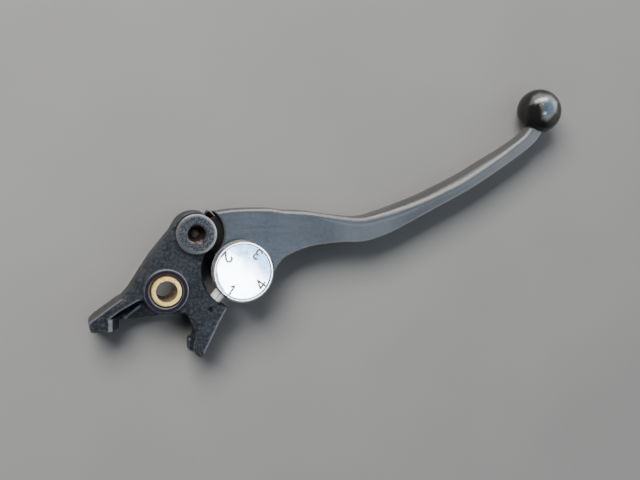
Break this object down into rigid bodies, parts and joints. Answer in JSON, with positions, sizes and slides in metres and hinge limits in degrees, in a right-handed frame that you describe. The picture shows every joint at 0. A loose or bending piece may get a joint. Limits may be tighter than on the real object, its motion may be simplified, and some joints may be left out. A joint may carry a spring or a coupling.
{
  "type": "adjustable motorcycle hand lever",
  "caption": "Pivoting hand lever for a hydraulic clutch or brake: a cast bracket on a brass bush, a curved blade with a ball end, and a numbered reach dial.",
  "frame": {"origin": "on the pivot bush's axis, at its lower end face, which is also the plane the lever lies on", "axes": "+X towards the ball end, roughly along the handlebar; +Y away from the handlebar; +Z along the pivot axis, out of the dial's face"},
  "size_m": [0.2013, 0.1078, 0.019],
  "materials": {
    "black_cast": "satin black over cast aluminium",
    "satin_alloy": "satin blue-grey coating, dark at the ball end",
    "brass": "machined",
    "chrome": "polished",
    "grey_steel": "phosphated, worn bright at the edges",
    "bright_steel": "zinc plated",
    "bronze": "sintered bronze"
  },
  "bodies": {
    "pivot": {"pivot_bush": "brass"},
    "bracket": {"lever_bracket": "black_cast", "stop_pin": "bright_steel", "link_pin": "grey_steel", "link_pin_screw": "grey_steel", "screw_lock_washer": "bright_steel", "lower_thrust_washer": "bright_steel", "upper_thrust_washer": "bright_steel", "return_spring": "bright_steel"},
    "blade": {"blade": "satin_alloy", "link_bush": "bronze", "wave_washer": "bright_steel", "spindle_washer": "bright_steel"},
    "dial": {"adjuster_dial": "chrome", "adjuster_cam": "bright_steel", "cam_spindle": "bright_steel", "spindle_clip": "bright_steel"}
  },
  "joints": [
    {"name": "lever_stroke", "type": "hinge", "parent": "pivot", "child": "bracket", "pos_m": [0, 0, 0], "axis": [0, 0, 1], "range_deg": [-20, 0]},
    {"name": "reach_swing", "type": "hinge", "parent": "bracket", "child": "blade", "pos_m": [0.0116, 0.0216, 0], "axis": [0, 0, 1], "range_deg": [0, 20], "stiffness_Nm_per_rad": 0.06, "springref_deg": -34.38},
    {"name": "dial_turn", "type": "hinge", "parent": "blade", "child": "dial", "pos_m": [0.0292, 0.0069, 0], "axis": [0, 0, 1], "continuous": true}
  ]
}
